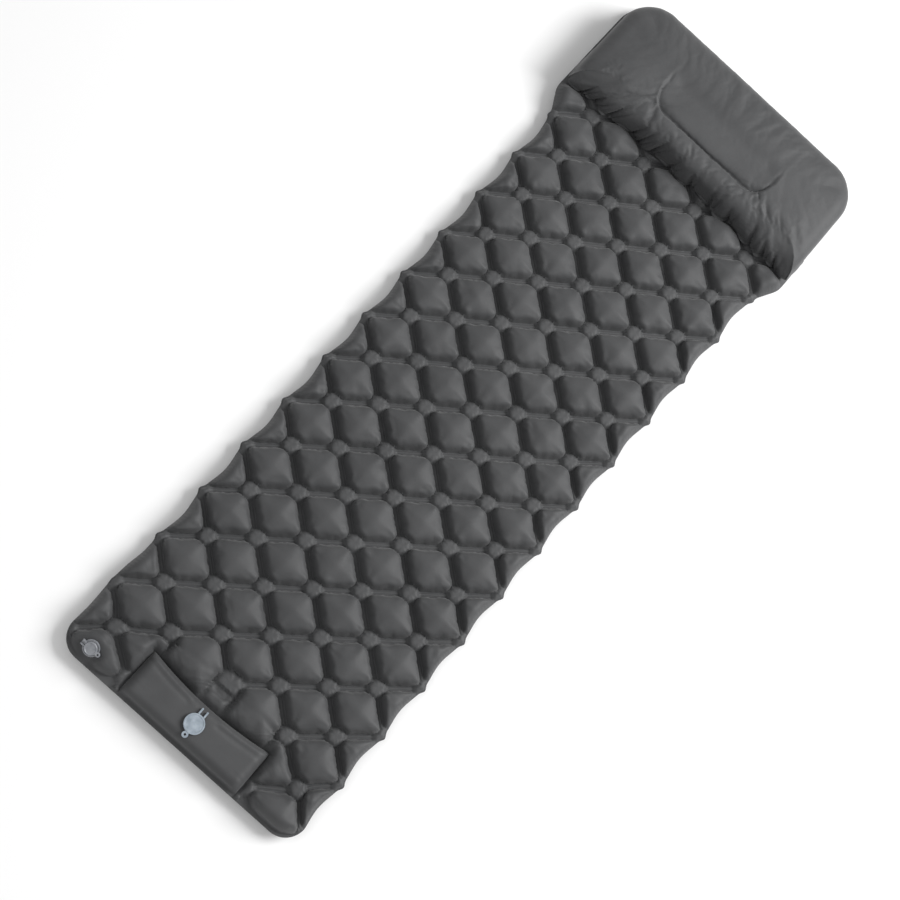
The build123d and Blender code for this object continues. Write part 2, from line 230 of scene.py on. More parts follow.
def quilt_grid():
    """Grid points as (a, b), plan positions and faces, snapped to the outline."""
    poly = outline()
    steps = np.arange(-GRID_REACH * GRID, GRID_REACH * GRID + 1)
    ia, ib = (g.ravel() for g in np.meshgrid(steps, steps, indexing="ij"))
    a, b = crowded(ia / GRID), crowded(ib / GRID)
    x, y = lattice(a, b)
    keep = (np.abs(x) <= EDGE_FLAT + MARGIN) & (y >= FOOT_Y - MARGIN) & (y <= HEAD_Y + MARGIN)
    number = -np.ones(len(ia), int)
    number[keep] = np.arange(keep.sum())
    number = number.reshape(len(steps), len(steps))
    quads = grid_quads(number)
    faces = quads[(quads >= 0).all(axis=1)]
    ab = np.stack([a, b], axis=1)[keep]
    x, y = x[keep], y[keep]
    # the half nodes are drawn in to the edge, and widen with it under the pillow
    side, x = np.sign(x), np.abs(x)
    edge = np.where(side < 0, half_width(y, -1), half_width(y))
    drawn = EDGE_ZONE + (x - EDGE_ZONE) * (edge - EDGE_ZONE) / (EDGE_FLAT - EDGE_ZONE)
    x = np.where(x > EDGE_ZONE, drawn, x)
    # the foot's last nodes stand further out
    spread = np.exp(-(((x - 0.222) / 0.045) ** 2)) * smooth((ROW_0 + 0.045 - y) / 0.06)
    x = x + FOOT_SPREAD * spread
    points = np.stack([side * x, y], axis=1)
    # a face stays if its middle is inside; its outer corners are moved onto the outline
    inside = nearest_on(poly, points[faces].mean(axis=1))[0] < -CUT_TOLERANCE
    faces = faces[inside]
    used = np.unique(faces)
    remap = -np.ones(len(points), int)
    remap[used] = np.arange(len(used))
    points, ab, faces = points[used], ab[used], remap[faces]
    dist, near = nearest_on(poly, points)
    # every point of the mesh's own rim goes onto the outline, so that the edge is a clean line
    pairs = np.sort(np.concatenate([faces[:, [i, (i + 1) % 4]] for i in range(4)]), axis=1)
    pair, times = np.unique(pairs, axis=0, return_counts=True)
    moved = dist > -SNAP
    moved[pair[times == 1].ravel()] = True
    points[moved] = near[moved]
    # the outline's sharp corners, where the pump's pocket is let in, are points of the mesh too
    rim = np.nonzero(moved)[0]
    for corner in ((-PUMP_HALF, FOOT_Y), (PUMP_HALF, FOOT_Y)):
        points[rim[np.argmin(np.linalg.norm(points[rim] - corner, axis=1))]] = corner
    return points, ab, faces, moved, np.where(moved, 0.0, -dist)


def soft_min(a, b, k):
    """The lower of two heights, rounded over about k where they meet."""
    h = np.clip(0.5 + 0.5 * (b - a) / k, 0, 1)
    return b * (1 - h) + a * h - k * h * (1 - h)


def octagon(dx, dy):
    """Distance from a node to an octagon round it whose sides face the bars and the axes."""
    c, s = CELL_X / 2 / PITCH, CELL_Y / 2 / PITCH
    return np.max([abs(dx), abs(dy), abs(dx * c + dy * s), abs(dx * c - dy * s)], axis=0)


def crease(x, y, at, y0, y1):
    """Distance to a crease that runs straight along the pad at x = +-at, from y0 to y1."""
    beyond = np.maximum(np.maximum(y0 - y, y - y1), 0)
    return np.hypot(abs(x) - at, beyond)


FACET_WIDE = 0.043          # from a cell's edge to where its facets meet
FOLD, SPOKE = 0.0013, 0.0018        # height of the gathers along the bars and round the nodes
FOLD_LENGTH = 0.0093        # from one gather to the next along a bar
UNEVEN = 0.0009             # of the blown-up cells
CORNER_FOLD = 0.0034        # of the folds that run out from the pump's corners
AIR_WAY = 0.0016            # least height of the valleys that join the cells
STRIP = 0.0028              # crown of the weld bars' own strips
BEHIND_PUMP = 1.4           # how much larger the node in the middle behind the pump is
PUMP_CREASES = 0.028, 0.130         # x of the creases that run down to the pump
FLANGE, FALL_WIDE = 0.003, 0.026    # the flat seam, and how far in from it the fabric comes down


def cell_height(s, flat):
    """Height of a cell at distance s in from its edge: a steep wall, then a flat facet."""
    wall = WALL_RISE * (1 - (1 - np.clip(s / WALL_WIDE, 0, 1)) ** 2.9)
    facet = FACET_RISE * flat * (1 - (1 - np.clip(s / FACET_WIDE, 0, 1)) ** 1.25)
    return wall + facet


def quilt_height(points, ab, inset):
    """Height above the weld plane: steep-sided cells with four facets, buttons at the nodes."""
    x, y = points[:, 0], points[:, 1]
    line = np.round(ab)
    off = ab - line
    to_a, to_b = np.abs(off).T * ROWS_APART
    dx, dy = lattice(off[:, 0], off[:, 1])
    ox, oy = lattice(0, 0)
    dx, dy = dx - ox, dy - oy
    node = octagon(dx, dy)
    # the node in the middle behind the pump is larger
    behind_pump = (np.abs(x) < 0.040) & (np.abs(y - ROW_0 - CELL_Y / 2) < 0.040)
    node = np.where(behind_pump, node / BEHIND_PUMP, node)
    # the pump takes the place of the lowest row's bars: straight creases run down to it
    row = y - ROW_0
    by_pump = smooth((0.050 - row) / 0.008) * smooth((0.129 - np.abs(x)) / 0.004)
    gone = by_pump * 0.05
    near, far = (crease(x, y, at, ROW_0, ROW_0 + 0.064) for at in PUMP_CREASES)
    to_pump = np.where(np.abs(x) < PUMP_HALF, np.abs(y - pump_head(x)), 1.0)
    channel = np.minimum(np.minimum(near, far), to_pump)
    s_bar = np.minimum(soft_min(to_a + gone, to_b + gone, 0.005) - BAR_EDGE, 0.05)
    s_node = np.where((by_pump > 0.5) & ~behind_pump, 1.0, node - NODE_EDGE)
    s = soft_min(s_bar, s_node * 3.5, 0.003)
    s = np.where(row < 0.070, np.minimum(s, channel), s)
    s = np.clip(s, 0, None)
    # gathers: short folds that run in from the bars and fan out from the nodes
    along = np.where(to_a < to_b, ab[:, 1], ab[:, 0]) * PITCH
    which = np.where(to_a < to_b, line[:, 0] * 1.7, line[:, 1] * 2.3 + 4)
    folds = np.sin(along * 2 * math.pi / FOLD_LENGTH + 5 * np.sin(along * 31 + which * 2.1) + which)
    folds *= 0.6 + 0.4 * np.sin(along * 71 + which * 3.7)
    turn = np.arctan2(dy, dx)
    spokes = np.sin(turn * 14 + 3 * np.sin(turn * 3 + line[:, 0] * 2.9 + line[:, 1] * 1.3))
    near_bar = np.exp(-s_bar / 0.009) * (node > NODE_EDGE + 0.006)
    near_node = np.exp(-np.clip(s_node, 0, None) / 0.011)
    cell = np.floor(ab)
    full = 1 + 0.07 * np.sin(cell[:, 0] * 2.7 + cell[:, 1] * 4.1 + 0.7)
    h = cell_height(s, full)
    gate = smooth(s / 0.004)
    h += gate * (FOLD * folds * near_bar + SPOKE * spokes * near_node)
    # wide, shallow unevenness of the blown-up cells, and folds that run out from the pump's corners
    uneven = np.sin(x * 61 + 2 * np.sin(y * 47)) * np.sin(y * 83 + 1.5 * np.sin(x * 39))
    h += gate * UNEVEN * uneven
    px, py = np.abs(x) - PUMP_HALF, y - PUMP_HEAD_Y - 0.008
    to_corner = np.hypot(px, py)
    rays = np.sin(np.arctan2(py, px) * 11 + np.sign(x) * 1.3 + to_corner * 40)
    h += CORNER_FOLD * rays * np.exp(-to_corner / 0.022) * smooth(to_corner / 0.008)
    # the valley round a node holds the air way from cell to cell; bars are flat on the weld
    open_way = smooth((np.minimum(to_a, to_b) - BAR_EDGE) / 0.006)
    h = np.maximum(h, AIR_WAY * open_way * (1 - by_pump))
    strip = STRIP * (1 - (np.minimum(to_a, to_b) / BAR_EDGE) ** 2)
    h = np.where(by_pump < 0.5, np.maximum(h, strip), h)
    inside = np.clip(node / NODE_EDGE, 0, 1)
    button = BUTTON * (1 - inside**5) ** 0.6 * (1 - 0.10 * np.cos(turn * 4) * inside**2)
    button += 0.0006 * np.sin(turn * 9 + line[:, 0] * 5.3 + line[:, 1] * 3.1) * inside**2
    whole = (by_pump < 0.5) | behind_pump
    h = np.where((node < NODE_EDGE) & whole, np.maximum(button, 0), h)
    low = np.abs(x) < PUMP_CREASES[0]
    h = np.where((row < 0.050) & low, np.minimum(h, 0.0045 + 0.0085 * smooth(s / 0.014)), h)
    # the fabric comes down to the seams round the edge
    flange = FLANGE + 0.006 * smooth((ROW_0 - 0.060 - y) / 0.02) * (np.abs(x) > PUMP_HALF + 0.01)
    fall = np.clip((inset - flange) / FALL_WIDE, 0, 1)
    return h * np.clip(1 - (1 - fall) ** 2.6, 0, 1) ** 0.6


# ---- cloth -----------------------------------------------------------------------------------
CLOTH_STIFFNESS = 25.0
CLOTH_BENDING = 0.05
CLOTH_MASS = 0.002
START_NOISE = 0.00008       # unevenness that lets the folds start


def simulate(obj, pinned, pressure, grow, frames):
    """Inflates a flat mesh as cloth whose pinned points stay, and returns where its points go."""
    group = obj.vertex_groups.new(name="pin")
    group.add([int(i) for i in np.nonzero(pinned)[0]], 1.0, "REPLACE")
    mod = obj.modifiers.new("inflate", "CLOTH")
    s = mod.settings
    s.quality = 6
    s.mass = CLOTH_MASS
    s.tension_stiffness = CLOTH_STIFFNESS
    s.compression_stiffness = CLOTH_STIFFNESS
    s.shear_stiffness = CLOTH_STIFFNESS * 0.4
    s.bending_stiffness = CLOTH_BENDING
    s.tension_damping = s.compression_damping = 5
    s.shear_damping = 5
    s.bending_damping = 0.5
    s.air_damping = 1
    s.vertex_group_mass = "pin"
    s.pin_stiffness = 1
    s.use_pressure = True
    s.uniform_pressure_force = pressure
    s.shrink_min = s.shrink_max = -grow
    s.effector_weights.gravity = 0
    mod.collision_settings.use_collision = False
    mod.point_cache.frame_start = 1
    mod.point_cache.frame_end = frames
    scene = bpy.context.scene
    for f in range(1, frames + 1):
        scene.frame_set(f)
    settled = obj.evaluated_get(bpy.context.evaluated_depsgraph_get())
    mesh = settled.to_mesh()
    co = np.empty(len(mesh.vertices) * 3)
    mesh.vertices.foreach_get("co", co)
    settled.to_mesh_clear()
    obj.modifiers.remove(mod)
    obj.vertex_groups.clear()
    scene.frame_set(1)
    return co.reshape(-1, 3)


def limited(move, cap):
    """Moves of any length, eased so that none is longer than the cap."""
    length = np.maximum(np.linalg.norm(move, axis=1), 1e-9)[:, None]
    return move / length * cap * np.tanh(length / cap)


# ---- materials -------------------------------------------------------------------------------
def node_material(name):
    mat = bpy.data.materials.new(name)
    mat.use_nodes = True
    tree = mat.node_tree
    return mat, tree, tree.nodes["Principled BSDF"]


def add_node(tree, kind, **values):
    n = tree.nodes.new(kind)
    for key, value in values.items():
        if hasattr(n, key):
            setattr(n, key, value)
        else:
            n.inputs[key.replace("_", " ")].default_value = value
    return n


def colour_ramp(tree, dark, light, start=0.0, end=1.0):
    ramp = add_node(tree, "ShaderNodeValToRGB")
    first, last = ramp.color_ramp.elements
    first.position, first.color = start, (*dark, 1)
    last.position, last.color = end, (*light, 1)
    return ramp


def fabric(name, dark, light, weave_depth=0.00006, roughness=(0.52, 0.66)):
    """Coated nylon: plain weave at 0.45 mm, soft blotches and a faint sheen."""
    mat, tree, bsdf = node_material(name)
    link = tree.links.new
    where = add_node(tree, "ShaderNodeTexCoord")
    blotch = add_node(tree, "ShaderNodeTexNoise", Scale=9.0, Detail=5.0, Roughness=0.6)
    link(where.outputs["Object"], blotch.inputs["Vector"])
    ramp = colour_ramp(tree, dark, light, 0.30, 0.72)
    link(blotch.outputs["Fac"], ramp.inputs["Fac"])
    weave = []
    for turn in (0.0, math.pi / 2):
        turned = add_node(tree, "ShaderNodeMapping")
        turned.inputs["Rotation"].default_value = (0, 0, turn)
        link(where.outputs["Object"], turned.inputs["Vector"])
        wave = add_node(tree, "ShaderNodeTexWave", Scale=700.0, Distortion=0.6, Detail=1.0)
        wave.wave_profile = "SIN"
        link(turned.outputs["Vector"], wave.inputs["Vector"])
        weave.append(wave)
    both = add_node(tree, "ShaderNodeMath", operation="MULTIPLY")
    link(weave[0].outputs["Fac"], both.inputs[0])
    link(weave[1].outputs["Fac"], both.inputs[1])
    shade = add_node(tree, "ShaderNodeMixRGB", blend_type="MULTIPLY")
    shade.inputs["Fac"].default_value = 0.12
    link(ramp.outputs["Color"], shade.inputs["Color1"])
    link(both.outputs["Value"], shade.inputs["Color2"])
    link(shade.outputs["Color"], bsdf.inputs["Base Color"])
    rough = add_node(tree, "ShaderNodeMapRange")
    rough.inputs["To Min"].default_value, rough.inputs["To Max"].default_value = roughness
    link(blotch.outputs["Fac"], rough.inputs["Value"])
    link(rough.outputs["Result"], bsdf.inputs["Roughness"])
    crinkle = add_node(tree, "ShaderNodeTexNoise", Scale=120.0, Detail=3.0, Roughness=0.55)
    link(where.outputs["Object"], crinkle.inputs["Vector"])
    fine = add_node(tree, "ShaderNodeBump", Strength=0.35, Distance=weave_depth * 8)
    link(crinkle.outputs["Fac"], fine.inputs["Height"])
    bump = add_node(tree, "ShaderNodeBump", Strength=0.5, Distance=weave_depth)
    link(both.outputs["Value"], bump.inputs["Height"])
    link(fine.outputs["Normal"], bump.inputs["Normal"])
    link(bump.outputs["Normal"], bsdf.inputs["Normal"])
    bsdf.inputs["Sheen Weight"].default_value = 0.15
    bsdf.inputs["Sheen Roughness"].default_value = 0.5
    bsdf.inputs["Specular IOR Level"].default_value = 0.35
    return mat


def plastic(name, dark, light, roughness=(0.28, 0.42), clear=0.0):
    """Moulded TPU: cloudy colour, satin gloss with fine scuffs."""
    mat, tree, bsdf = node_material(name)
    link = tree.links.new
    where = add_node(tree, "ShaderNodeTexCoord")
    cloud = add_node(tree, "ShaderNodeTexNoise", Scale=90.0, Detail=4.0)
    link(where.outputs["Object"], cloud.inputs["Vector"])
    ramp = colour_ramp(tree, dark, light, 0.32, 0.70)
    link(cloud.outputs["Fac"], ramp.inputs["Fac"])
    link(ramp.outputs["Color"], bsdf.inputs["Base Color"])
    scuff = add_node(tree, "ShaderNodeTexNoise", Scale=900.0, Detail=3.0)
    link(where.outputs["Object"], scuff.inputs["Vector"])
    rough = add_node(tree, "ShaderNodeMapRange")
    rough.inputs["To Min"].default_value, rough.inputs["To Max"].default_value = roughness
    link(scuff.outputs["Fac"], rough.inputs["Value"])
    link(rough.outputs["Result"], bsdf.inputs["Roughness"])
    bump = add_node(tree, "ShaderNodeBump", Strength=0.2, Distance=0.00005)
    link(scuff.outputs["Fac"], bump.inputs["Height"])
    link(bump.outputs["Normal"], bsdf.inputs["Normal"])
    bsdf.inputs["Subsurface Weight"].default_value = clear
    bsdf.inputs["Subsurface Radius"].default_value = (0.002, 0.002, 0.003)
    bsdf.inputs["Coat Weight"].default_value = 0.25
    bsdf.inputs["Coat Roughness"].default_value = 0.25
    return mat


PAD = fabric("pad_nylon", (0.049, 0.050, 0.052), (0.067, 0.068, 0.070))
BASE = fabric("base_nylon", (0.041, 0.042, 0.044), (0.057, 0.058, 0.061))
VALVE = plastic("valve_tpu", (0.22, 0.26, 0.30), (0.34, 0.39, 0.44), clear=0.15)
VALVE_GREY = plastic("main_valve_tpu", (0.19, 0.20, 0.22), (0.29, 0.30, 0.32), clear=0.10)
SILICONE = plastic("silicone", (0.45, 0.46, 0.47), (0.58, 0.59, 0.60), roughness=(0.4, 0.55))
FILM = plastic("film", (0.30, 0.31, 0.32), (0.40, 0.41, 0.42), roughness=(0.35, 0.5))


def paint(obj, mat):
    obj.data.materials.clear()
    obj.data.materials.append(mat)


# ---- mattress --------------------------------------------------------------------------------
VALVE_AT = Vector((-0.237, -0.914, 0.043))
VALVE_TILT = math.radians(30)
SEAM_Z = 0.034              # where the pillow's front is welded to the quilt


def seam_bow(x):
    """How far the pillow's front seam stands towards the head: bowed, and pushed by the cells."""
    bow = 0.015 * np.clip(1 - (x / 0.320) ** 2, 0, 1)
    return bow + 0.0045 * np.cos(2 * math.pi * (x - 0.055) / 0.105) * np.clip(bow / 0.006, 0, 1)


def flatten_for_parts(points, z, inset):
    """Seats the fabric under the main valve and under the pillow."""
    x, y = points[:, 0], points[:, 1]
    slope = VALVE_AT.z + (y - VALVE_AT.y) * math.tan(VALVE_TILT) - 0.0002
    d = np.hypot(x - VALVE_AT.x, (y - VALVE_AT.y) / math.cos(VALVE_TILT))
    w = 1 - smooth((d - 0.0195) / 0.016)
    z = z * (1 - w) + slope * w
    # the valve's corner slopes down to the foot, so that the open caps lie clear of the fabric
    z = np.where(x < VALVE_AT.x + 0.020, soft_min(z, np.maximum(slope, WELD_Z), 0.002), z)
    # the pillow's seam pulls the quilt down, and what is under the pillow lies lower
    line = PILLOW_Y + seam_bow(x)
    seam = np.exp(-(((y - line) / 0.009) ** 2)) * (y < line) + (y >= line)
    fall = np.clip(inset / 0.030, 0, 1)
    low = WELD_Z + (SEAM_Z - WELD_Z) * np.clip(1 - (1 - fall) ** 2.2, 0, 1) ** 0.6
    return z * (1 - seam) + np.minimum(z, low) * seam


QUILT_PRESSURE = 9.0
QUILT_SPARE = 0.025         # how much larger the cloth is than the shape it fills
QUILT_FRAMES = 7
QUILT_CAP = 0.0028          # the furthest that a point may move
HANG = 1.08                 # how far the lower sheet hangs, as a share of the upper one's height
SHEET_GAP = 0.0010          # between two welded sheets, except at their edge
GROUND = 0.004              # height below which the lower sheet is pressed flat

points, ab, faces, edge, inset = quilt_grid()
height = quilt_height(points, ab, inset)
top = np.column_stack([points, flatten_for_parts(points, WELD_Z + height, inset)])
quilt = new_object("quilted_top", top, faces)
# the blown-up cells settle as cloth, held at the weld bars, the seams and the valve
rows = np.abs(ab - np.round(ab)) * ROWS_APART
from_valve = np.hypot(points[:, 0] - VALVE_AT.x, points[:, 1] - VALVE_AT.y)
held = (rows.min(axis=1) < BAR_EDGE * 0.9) | (inset < 0.004)
held |= (from_valve < 0.024) | (points[:, 1] > PILLOW_Y)
start = top - (0, 0, WELD_Z) + rng.normal(0, START_NOISE, top.shape) * ~held[:, None]
set_coords(quilt, start)
move = simulate(quilt, held, QUILT_PRESSURE, QUILT_SPARE, QUILT_FRAMES) - start
set_coords(quilt, top + limited(move, QUILT_CAP))
paint(quilt, PAD)
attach(quilt, "pad")
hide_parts("mattress_top_sheet")

# the lower sheet mirrors the upper one, is pressed flat on the ground and lies just under the welds
hang = HANG * height * (0.35 + 0.65 * smooth(inset / 0.045))
under_z = WELD_Z - np.where(edge, 0, SHEET_GAP) - hang
rested = GROUND * np.exp((under_z - GROUND) / GROUND)
under_z = np.where(under_z < GROUND, rested, under_z)
# a face with all its points on the edge would lie on the upper sheet's: one of the two is enough
used, under = np.unique(faces[~edge[faces].all(axis=1)], return_inverse=True)
under_points = np.column_stack([points, under_z])[used]
base = new_object("base_sheet", under_points, under.reshape(-1, 4)[:, ::-1])
paint(base, BASE)
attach(base, "pad")
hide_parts("mattress_bottom_sheet")


# ---- pillow ----------------------------------------------------------------------------------
PILLOW_HALF = (0.323, 0.141)
PILLOW_MID = (0.0, 0.787)
PILLOW_CORNER = 0.088
FRONT_SQUARE = 0.85         # 0 leaves the front corners round like the head's, 1 makes them square
PILLOW_TOP = 0.105
WALL = 0.055                # of the enlarged flat panel that turns down the sides
PANEL_STEP = 0.0034
SIDE_ARC, FRONT_ARC = 0.034, 0.026      # half width of a side's arc, and what the front's has more
ARC_START, FRONT_START = -58, 50        # degrees to its lower end, and what the front's has more
SEAM_LIFT = 0.004           # of the pillow's seam above the quilt
RECESS_HALF, RECESS_TURN = 0.112, 0.046     # x where its crease begins to turn, and over how much
RECESS_Y, RECESS_BEND = 0.718, 0.050
RECESS_END = 0.164
RECESS_DEEP = 0.0135


def pillow_panel():
    """A flat panel bent over the pillow: points, faces, share up from the seam, front, outward."""
    ax, ay = PILLOW_HALF[0] + WALL, PILLOW_HALF[1] + WALL
    nx, ny = round(2 * ax / PANEL_STEP), round(2 * ay / PANEL_STEP)
    X, Y = np.meshgrid(np.linspace(-ax, ax, nx + 1), np.linspace(-ay, ay, ny + 1), indexing="ij")
    X, Y = X.ravel(), Y.ravel()
    cx, cy = PILLOW_HALF[0] - PILLOW_CORNER, PILLOW_HALF[1] - PILLOW_CORNER
    dx, dy = np.maximum(np.abs(X) - cx, 0), np.maximum(np.abs(Y) - cy, 0)
    d = np.maximum(dx, dy)
    both = np.maximum(np.hypot(dx, dy), 1e-9)
    nxs, nys = np.sign(X) * dx / both, np.sign(Y) * dy / both
    front = smooth((-nys - 0.35) / 0.6)
    reach = SIDE_ARC + FRONT_ARC * front
    start = np.radians(ARC_START + FRONT_START * front)
    inset = PILLOW_CORNER + WALL - d
    S = WALL + reach
    t = np.clip(inset / S, 0, 1)
    phi = start + (math.pi / 2 - start) * t
    rho = np.where(inset < S, PILLOW_CORNER + WALL - S + reach * np.cos(phi), d)
    square = 1 / np.maximum(np.maximum(np.abs(nxs), np.abs(nys)), 0.5) - 1
    rho = rho * (1 + np.where(Y < 0, FRONT_SQUARE, 0) * np.where(both > 1e-8, square, 0))
    seam = SEAM_Z + SEAM_LIFT
    tall = (PILLOW_TOP - seam) / (1 - np.sin(start))
    z = np.where(inset < S, PILLOW_TOP - tall * (1 - np.sin(phi)), PILLOW_TOP)
    bx = np.clip(X, -cx, cx) + nxs * rho
    by = np.clip(Y, -cy, cy) + nys * rho
    index = np.arange(len(X)).reshape(nx + 1, ny + 1)
    quads = grid_quads(index)
    P = np.stack([bx + PILLOW_MID[0], by + PILLOW_MID[1], z], axis=1)
    return P, quads, t, front, np.stack([nxs, nys], axis=1)


def recess_depth(x, y):
    """The head's recess: a sharp crease towards the foot, open and soft towards the head."""
    ax = np.abs(x)
    bend = np.clip((ax - RECESS_HALF) / RECESS_TURN, 0, 1)
    line = RECESS_Y + RECESS_BEND * (1 - np.sqrt(np.clip(1 - bend**2, 0, 1)))
    t = y - line
    inside = smooth((RECESS_END - ax) / (0.008 + 0.7 * np.clip(t - 0.030, 0, 0.1)))
    near = np.where(t < 0, np.exp(t / 0.0045), 0.55 * np.exp(-t / 0.011))
    far = np.where(t < 0, 0.0, 0.52 * (1 - smooth((t - 0.070) / 0.045)))
    side = 1 - 0.45 * smooth((ax - 0.12) / 0.05)
    return RECESS_DEEP * (near + far) * inside * side


PILLOW_PRESSURE = 8.0
PILLOW_SPARE = 0.030        # how much larger the cloth is than the space it fills
PILLOW_FRAMES = 14
PILLOW_CAP = 0.0065         # the furthest that a point may move
PLEAT_DEEP = 0.017
CROWN = 0.0035              # of the pillow's top
LIP_OUT, LIP_UP = 0.007, 0.004      # of the front seam's wavy lip
WELDED = 0.0118             # recess depth from where the cloth is held
PLEATS = [      # x at the seam, half width, how far up it runs
    (-0.243, 0.010, 0.75), (-0.202, 0.009, 1.0), (-0.136, 0.009, 0.7), (-0.114, 0.007, 0.9),
    (-0.081, 0.008, 0.8), (-0.028, 0.008, 0.55), (0.029, 0.007, 0.55), (0.089, 0.009, 0.7),
    (0.140, 0.008, 0.6), (0.211, 0.010, 1.0), (0.247, 0.009, 0.65), (-0.278, 0.008, 0.5),
    (0.283, 0.008, 0.5),
]


def pleat_depth(x, t):
    """Gathers running up the pillow's front from its seam: t is 0 at the seam, 1 on top."""
    depth = np.zeros_like(x)
    for at, wide, tall in PLEATS:
        lean = at - 0.028 * t * np.sign(at) * (0.5 + abs(at) / 0.3)
        width = wide * (0.5 + 0.9 * t)
        groove = np.exp(-np.abs((x - lean) / width) ** 1.1)
        groove += 0.45 * np.exp(-np.abs((x - lean - 2.3 * width) / (0.5 * width)) ** 1.3)
        depth = np.maximum(depth, groove * (1 - smooth(t / (0.30 + 0.55 * tall))))
    return depth


P, quads, t, front, out = pillow_panel()
puff = PLEAT_DEEP * pleat_depth(P[:, 0], t) * front
crown = CROWN * np.cos(np.clip((P[:, 0]) / 0.30, -1, 1) * math.pi / 2)
P[:, 2] -= recess_depth(P[:, 0], P[:, 1]) * smooth((t - 0.9) / 0.1)
P[:, 2] -= puff * 0.35 + (CROWN - crown) * smooth((t - 0.4) / 0.6)
P[:, :2] -= out * puff[:, None]
P[:, 1] += seam_bow(P[:, 0]) * front * (1 - smooth(t / 0.85))
# its front seam stands up as a narrow, wavy lip
lip = front * (1 - smooth(t / 0.045))
wave = 0.6 + 0.4 * np.sin(P[:, 0] * 78 + 2 * np.sin(P[:, 0] * 33))
P[:, 1] -= LIP_OUT * lip * wave
P[:, 2] += LIP_UP * lip * wave
pillow = new_object("pillow_cover", P, quads)
# the blown-up fabric settles as cloth, held at its seam and along the recess's weld
held = (t < 0.02) | (recess_depth(P[:, 0], P[:, 1]) * (t > 0.95) > WELDED)
start = P + rng.normal(0, START_NOISE, P.shape) * ~held[:, None]
set_coords(pillow, start)
move = simulate(pillow, held, PILLOW_PRESSURE, PILLOW_SPARE, PILLOW_FRAMES) - P
set_coords(pillow, P + limited(move, PILLOW_CAP))
paint(pillow, PAD)
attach(pillow, "pad")
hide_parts("pillow_panel")


# ---- foot pump -------------------------------------------------------------------------------
PUMP_X_STEPS, PUMP_Y_STEPS, PUMP_TURN_STEPS = 70, 22, 10
PUMP_DEPTH = 0.094          # of the pocket, from the foot to the head, for spacing its mesh
PUMP_FLANGE = 0.008         # of the flat seam at the foot
PUMP_VALVE_Y = -0.894
PUMP_TOP_Z = 0.0518
PUMP_FLOOR_Z = 0.0004
RIB, GROOVE = 0.0022, 0.0020        # along the head edge, and just inside it
PUMP_GATHER = 0.0009
PUMP_SAG = 0.0016           # how much lower its ends lie than its middle
EDGE_GAP = 0.3              # share of the sheets' gap that is left at the pocket's ends


def pump_profile(n, low, high, reach):
    """Positions across the pocket, closer together where its edge turns down."""
    turn = np.linspace(0, math.pi / 2, PUMP_TURN_STEPS)
    rim = reach * (1 - np.cos(turn))
    middle = np.linspace(low + reach, high - reach, n)[1:-1]
    return np.concatenate([low + rim, middle, (high - rim)[::-1]])


def pump_pocket(name, seam_z, flat_z, reach):
    """A panel of the pocket, from its seam to its flat middle: the cover above, the base below."""
    xs = pump_profile(PUMP_X_STEPS, -PUMP_HALF, PUMP_HALF, reach)
    vs = pump_profile(PUMP_Y_STEPS, 0.0, 1.0, reach / PUMP_DEPTH)
    X, V = np.meshgrid(xs, vs, indexing="ij")
    depth = pump_head(X) - FOOT_Y
    Y = FOOT_Y + V * depth
    sx = np.minimum(PUMP_HALF - X, X + PUMP_HALF)
    sy = np.where(V < 0.5, np.maximum(V * depth - PUMP_FLANGE, 0), (1 - V) * depth)
    fx, fy = np.clip(sx / reach, 0, 1), np.clip(sy / reach, 0, 1)
    share = np.sqrt(np.clip(1 - (1 - fx) ** 2, 0, 1)) * np.sqrt(np.clip(1 - (1 - fy) ** 2, 0, 1))
    Z = seam_z + (flat_z - seam_z) * share
    is_base = flat_z < seam_z
    if is_base:
        # the lower flange lies just below the cover's, and meets it at the edge
        Z -= SHEET_GAP * (V > 0) * (V < 1) * np.where(sx > 0, 1 - share, EDGE_GAP)
    else:
        to_head = sy * (V > 0.5) + (V <= 0.5)
        off_valve = smooth((np.abs(X) - 0.026) / 0.015) * np.clip(sx / 0.02, 0, 1)
        Z += RIB * np.exp(-(((to_head - 0.011) / 0.004) ** 2)) * off_valve
        Z -= GROOVE * np.exp(-(((to_head - 0.021) / 0.005) ** 2)) * off_valve
        gather = np.sin(X * 330 + 4 * np.sin(X * 71)) * np.exp(-sy / 0.008)
        gather += np.sin(Y * 300 + 3 * np.sin(Y * 110) + X * 60) * np.exp(-sx / 0.012)
        round_valve = smooth((0.034 - np.hypot(X, Y - PUMP_VALVE_Y)) / 0.01)
        Z += PUMP_GATHER * gather * share * (1 - round_valve)
        Z -= PUMP_SAG * smooth((np.abs(X) - 0.045) / 0.06) * share
    quads = grid_quads(np.arange(X.size).reshape(X.shape))
    if is_base:
        quads = quads[:, ::-1]
    return new_object(name, np.stack([X.ravel(), Y.ravel(), Z.ravel()], axis=1), quads)


pump = pump_pocket("pump_cover_panel", WELD_Z, PUMP_TOP_Z, 0.020)
paint(pump, PAD)
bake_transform(pump)
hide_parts("pump_cover")

pump_base = pump_pocket("pump_base_panel", WELD_Z, PUMP_FLOOR_Z, 0.014)
paint(pump_base, BASE)
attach(pump_base, "pad")
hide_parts("pump_floor_sheet")


# ---- valves ----------------------------------------------------------------------------------
def bending_strap(node, a):
    """A copy of a strap, painted like its valve, that takes the CAD part's place."""
    copy = bpy.data.objects.new(node + "_soft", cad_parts[node].data.copy())
    bpy.context.scene.collection.objects.link(copy)
    paint(copy, VALVE if a == "pump_top" else VALVE_GREY)
    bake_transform(copy)
    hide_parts(node)


